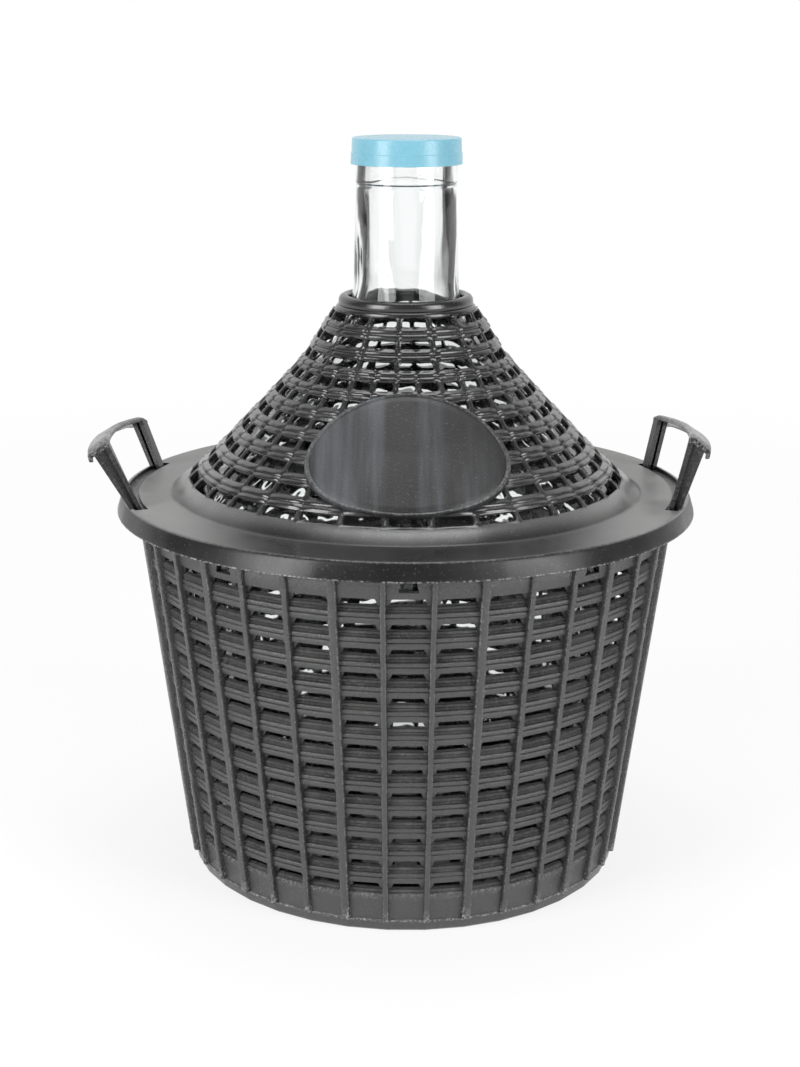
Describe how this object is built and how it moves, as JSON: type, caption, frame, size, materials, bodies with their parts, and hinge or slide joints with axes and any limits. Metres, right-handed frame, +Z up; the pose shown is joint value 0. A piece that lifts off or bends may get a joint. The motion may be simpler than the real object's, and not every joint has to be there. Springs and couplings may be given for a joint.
{
  "type": "demijohn",
  "caption": "Clear glass demijohn with a push-on cap, held in a tapered black slatted plastic basket with a clip-on bell-shaped cover and carrying handles.",
  "frame": {"origin": "middle of the basket's underside, on the surface that the demijohn stands on", "axes": "+Z up along the bottle's axis; -Y towards the front, where the oval plate is; the handles stand at +X and -X"},
  "size_m": [0.344, 0.326, 0.4116],
  "materials": {
    "black_moulding": "moulded black polyethylene, satin, light scuffs",
    "cover_moulding": "moulded black polyethylene, satin to glossy",
    "clear_glass": "clear glass with a faint blue-green tint",
    "blue_plastic": "light blue moulded polyethylene, soft gloss"
  },
  "bodies": {
    "vessel": {"basket": "black_moulding", "cover": "cover_moulding", "bottle": "clear_glass"},
    "cap": {"cap": "blue_plastic"}
  },
  "joints": [
    {"name": "cap_lift", "type": "slide", "parent": "vessel", "child": "cap", "axis": [0, 0, 1], "range_m": [0, 0.07]}
  ]
}
